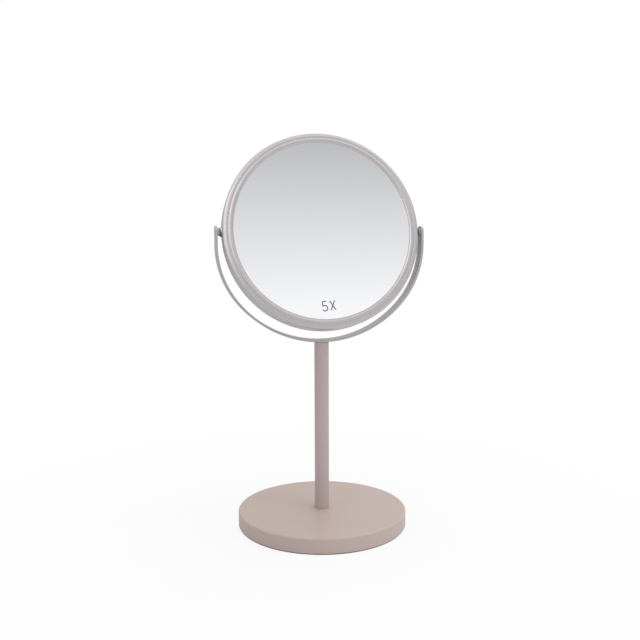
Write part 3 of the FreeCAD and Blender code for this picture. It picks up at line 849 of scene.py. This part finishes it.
stage = {
    "halfSize": 3.0,
    "below": 0.02 * mm,                       # just under the pad
    "colour": (0.79, 0.79, 0.81),
    "direct": 0.88,                           # share of plain white that the camera sees beside the foot
    "clear": (0.10, 0.40),                    # between these distances it grows to all of it
    "shaded": (72.7 * mm, 73.4 * mm),         # it begins at the foot's edge: there is none below the foot
}


def stageFloor():
    size, low = stage["halfSize"], -stage["below"]
    corners = [(-size, -size, low), (size, -size, low), (size, size, low), (-size, size, low)]
    floor = meshObject("floor", corners, faces=[(0, 1, 2, 3)])
    material = bpy.data.materials.new("paleFloor")
    material.use_nodes = True
    net = Net(material.node_tree)
    seen = net.node("ShaderNodeLightPath", out="Is Camera Ray")
    place = net.node("ShaderNodeTexCoord", out="Object")
    away = net.node("ShaderNodeVectorMath", {"operation": "LENGTH"}, {0: place}, out="Value")
    nearest, farthest = stage["clear"]
    far = net.node("ShaderNodeMapRange", sockets={
        "Value": away, "From Min": nearest, "From Max": farthest, "To Min": stage["direct"]})
    inside, outside = stage["shaded"]
    beside = net.node("ShaderNodeMapRange", sockets={
        "Value": away, "From Min": inside, "From Max": outside})
    matt = net.node("ShaderNodeBsdfDiffuse", sockets={"Color": (*stage["colour"], 1)})
    white = net.node("ShaderNodeEmission", sockets={"Strength": 1.0})
    mixed = net.node("ShaderNodeMixShader", sockets={0: seen * far * beside, 1: matt, 2: white})
    net.node("ShaderNodeOutputMaterial", sockets={"Surface": mixed})
    floor.data.materials.append(material)


light = {
    "ambient": (0.69, 0.69, 0.70),
    "glossAtHorizon": 0.058,                  # gloss sees a sky that brightens from this, per degree
    "glossSlope": 0.0305,
    "glossLow": 0.52,                         # it is never dimmer or brighter than these
    "glossHigh": 1.0,
    "glossGain": (1.0135, 1.0, 0.98),         # red, green and blue: cooler where it is dim
    "glossLift": (-0.0127, 0.0, 0.0188),
    "side": (-0.85, -0.40, 0.18),             # a broad glow to the front left that only gloss sees
    "sideGlow": 1.15,
    "sideTint": (0.98, 1.0, 1.05),
    "sideCore": 20,                           # half angle of its full part and of the whole, degrees
    "sideEdge": 60,
}


def studioWorld():
    world = bpy.data.worlds.new("studio")
    world.use_nodes = True
    bpy.context.scene.world = world
    net = Net(world.node_tree)
    # every kind of ray finds the sky by itself, which keeps the gloss on narrow pieces clean
    world.cycles.sampling_method = "NONE"
    ray = net.node("ShaderNodeLightPath", out="Is Camera Ray")
    direction = net.node("ShaderNodeTexCoord", out="Generated")
    height = net.node("ShaderNodeSeparateXYZ", sockets={0: direction}).out("Z")
    elevation = height.maths("ARCSINE", height) * (180 / pi)
    raw = light["glossAtHorizon"] + elevation * light["glossSlope"]
    glow = raw.maths("MINIMUM", raw.maths("MAXIMUM", raw, light["glossLow"]), light["glossHigh"])
    towards = net.node("ShaderNodeVectorMath", {"operation": "DOT_PRODUCT"}, {
        0: direction, 1: Vector(light["side"]).normalized()}, out="Value")
    side = light["sideGlow"] * net.node("ShaderNodeMapRange", {"interpolation_type": "SMOOTHSTEP"}, {
        "Value": towards, "From Min": cos(radians(light["sideEdge"])),
        "From Max": cos(radians(light["sideCore"]))})
    gains = zip(("Red", "Green", "Blue"), light["glossGain"], light["glossLift"], light["sideTint"])
    gloss = net.node("ShaderNodeCombineColor", sockets={
        channel: glow * gain + lift + side * tint for channel, gain, lift, tint in gains})
    lit = net.blend(ray.out("Is Glossy Ray"), (*light["ambient"], 1), gloss)
    straight = ray.maths("MAXIMUM", ray, ray.out("Is Transmission Ray"))
    shown = net.blend(straight, lit, (1, 1, 1, 1))
    sky = net.node("ShaderNodeBackground", sockets={"Color": shown, "Strength": 1.0})
    net.node("ShaderNodeOutputWorld", sockets={"Surface": sky})


lamps = {                                     # place, width and height, watts, tint
    "overhead": {"place": (0.35, 0.1, 1.5), "size": (1.2, 1.2), "watts": 8.2, "tint": (1, 1, 1)},
    "key": {"place": (0.95, -0.95, 0.7), "size": (0.8, 0.8), "watts": 3.9, "tint": (0.92, 0.98, 1.10)},
}


def softLamp(name, look):
    data = bpy.data.lights.new(name, "AREA")
    data.shape = "RECTANGLE"
    data.size, data.size_y = look["size"]
    data.energy = look["watts"]
    data.color = look["tint"]
    lamp = bpy.data.objects.new(name, data)
    bpy.context.scene.collection.objects.link(lamp)
    aim = pivot * 0.5 - Vector(look["place"])             # halfway up to the tilt axis
    turn = aim.to_track_quat("-Z", "Y").to_matrix().to_4x4()
    lamp.matrix_world = Matrix.Translation(look["place"]) @ turn
    lamp.visible_camera = False
    lamp.visible_glossy = False


camera = {
    "distance": 647.4 * mm,                   # level distance from the stem
    "height": 245.1 * mm,
    "around": 12.55,                          # degrees to the left of straight ahead
    "down": 5.718,
    "aim": -0.112,                            # turned off the stem, degrees to the right
    "roll": -0.18,
    "lens": 42.19,
    "sensor": 36,
}


def placeCamera():
    around = radians(camera["around"])
    heading = radians(camera["around"] + camera["aim"])
    data = bpy.data.cameras.new("camera")
    data.lens = camera["lens"]
    data.sensor_width = camera["sensor"]
    data.clip_start = 0.01
    made = bpy.data.objects.new("camera", data)
    bpy.context.scene.collection.objects.link(made)
    place = Vector((-sin(around), -cos(around), 0)) * camera["distance"]
    place.z = camera["height"]
    made.matrix_world = (Matrix.Translation(place) @ Matrix.Rotation(-heading, 4, "Z")
                         @ Matrix.Rotation(radians(90 - camera["down"]), 4, "X")
                         @ Matrix.Rotation(radians(camera["roll"]), 4, "Z"))
    bpy.context.scene.camera = made


stageFloor()
studioWorld()
for name, look in lamps.items():
    softLamp(name, look)
placeCamera()
bpy.context.scene.view_settings.view_transform = "Standard"
print("stage, light and camera made")
